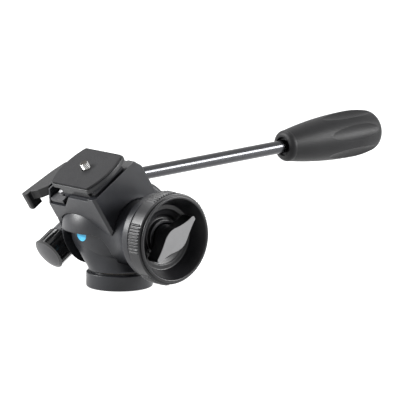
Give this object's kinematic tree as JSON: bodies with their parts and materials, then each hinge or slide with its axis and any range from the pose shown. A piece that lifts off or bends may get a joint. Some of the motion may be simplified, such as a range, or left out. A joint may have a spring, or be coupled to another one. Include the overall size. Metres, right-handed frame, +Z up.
{
  "type": "three way pan tilt head",
  "caption": "Camera head that pans on a round base, tilts by a long rubber grip against an adjustable drag cup, tips on its side, and holds a quick release camera plate",
  "frame": {"origin": "centre of the base's flat underside, on the pan axis", "axes": "+Z up along the pan axis, +X along the tilt axis towards the drag cup, -Y the lens side, +Y the handle side"},
  "size_m": [0.1228, 0.3091, 0.1081],
  "materials": {
    "black_casting": "satin black paint on die cast alloy",
    "plate_alloy": "glossy black anodised alloy",
    "bare_alloy": "turned alloy",
    "rod_alloy": "dark glossy anodised tube",
    "grey_metal": "plain grey alloy",
    "steel": "turned steel",
    "spring_steel": "oiled spring steel",
    "bright_steel": "bright plated steel",
    "bronze": "oiled bearing bronze",
    "slip_ring": "natural slippery plastic",
    "cup_plastic": "satin black moulded plastic",
    "lever_plastic": "satin black moulded plastic",
    "grey_plastic": "matte grey moulded plastic",
    "gloss_knob": "glossy black moulded plastic",
    "blue_marker": "bright blue plastic",
    "pad_rubber": "matte dark grey rubber",
    "grip_rubber": "fine grained charcoal rubber"
  },
  "bodies": {
    "base": {"base_disc": "black_casting", "tripod_socket": "steel", "base_screws": "steel", "pan_spindle": "steel", "pan_washer": "slip_ring", "pan_spring_washer": "spring_steel", "pan_nut": "steel"},
    "pan_body": {"pan_housing": "black_casting", "pan_bush": "bronze", "blue_marker": "blue_marker", "brake_shoe": "slip_ring", "tilt_hub": "bare_alloy", "axle_bushes": "bronze", "friction_discs": "slip_ring"},
    "pan_lock": {"pan_lock_knob": "gloss_knob", "pan_lock_screw": "steel"},
    "tilt_body": {"tilt_yoke": "black_casting", "tilt_axle": "steel", "web_bush": "bronze", "drag_plates": "spring_steel", "pressure_ring": "bare_alloy", "drag_spring": "spring_steel", "hinge_bolt": "steel", "hinge_washer": "steel", "handle_rod": "rod_alloy", "handle_grip": "grip_rubber"},
    "drag_ring": {"drag_cup": "cup_plastic"},
    "tilt_key": {"wing_key": "grey_plastic", "key_insert": "bronze"},
    "side_lock": {"side_knob": "gloss_knob"},
    "side_body": {"platform": "black_casting", "hinge_bushes": "bronze", "seat_liner": "slip_ring", "seat_screws": "steel", "lever_pivot": "steel", "slider_screw": "steel", "camera_plate": "plate_alloy", "plate_pad": "pad_rubber"},
    "plate_lever": {"qr_lever": "lever_plastic"},
    "lever_catch": {"safety_slider": "grey_metal"},
    "plate_screw": {"camera_screw": "bright_steel"}
  },
  "joints": [
    {"name": "pan", "type": "hinge", "parent": "base", "child": "pan_body", "pos_m": [0, 0, 0], "axis": [0, 0, 1], "continuous": true},
    {"name": "pan_lock_turn", "type": "hinge", "parent": "pan_body", "child": "pan_lock", "pos_m": [0, 0, 0.019], "axis": [0, 1, 0], "range_deg": [-90, 90]},
    {"name": "tilt", "type": "hinge", "parent": "pan_body", "child": "tilt_body", "pos_m": [0, 0, 0.0442], "axis": [1, 0, 0], "range_deg": [-53, 27]},
    {"name": "drag_adjust", "type": "hinge", "parent": "tilt_body", "child": "drag_ring", "pos_m": [0.05, 0, 0.0442], "axis": [1, 0, 0], "range_deg": [-135, 135]},
    {"name": "tilt_lock_turn", "type": "hinge", "parent": "tilt_body", "child": "tilt_key", "pos_m": [0.05, 0, 0.0442], "axis": [1, 0, 0], "range_deg": [-60, 60]},
    {"name": "side_tilt", "type": "hinge", "parent": "tilt_body", "child": "side_body", "pos_m": [-0.042, 0, 0.0442], "axis": [0, -0.8387, -0.5446], "range_deg": [0, 90]},
    {"name": "side_lock_turn", "type": "hinge", "parent": "tilt_body", "child": "side_lock", "pos_m": [-0.042, 0, 0.0442], "axis": [0, -0.8387, -0.5446], "range_deg": [-90, 90]},
    {"name": "plate_lever_turn", "type": "hinge", "parent": "side_body", "child": "plate_lever", "pos_m": [-0.026, -0.01281, 0.08596], "axis": [0, 0.5446, -0.8387], "range_deg": [0, 55]},
    {"name": "catch_slide", "type": "slide", "parent": "side_body", "child": "lever_catch", "axis": [1, 0, 0], "range_m": [0, 0.0025]},
    {"name": "camera_screw_turn", "type": "hinge", "parent": "side_body", "child": "plate_screw", "pos_m": [0, -0.02723, 0.08613], "axis": [0, -0.5446, 0.8387], "continuous": true}
  ]
}
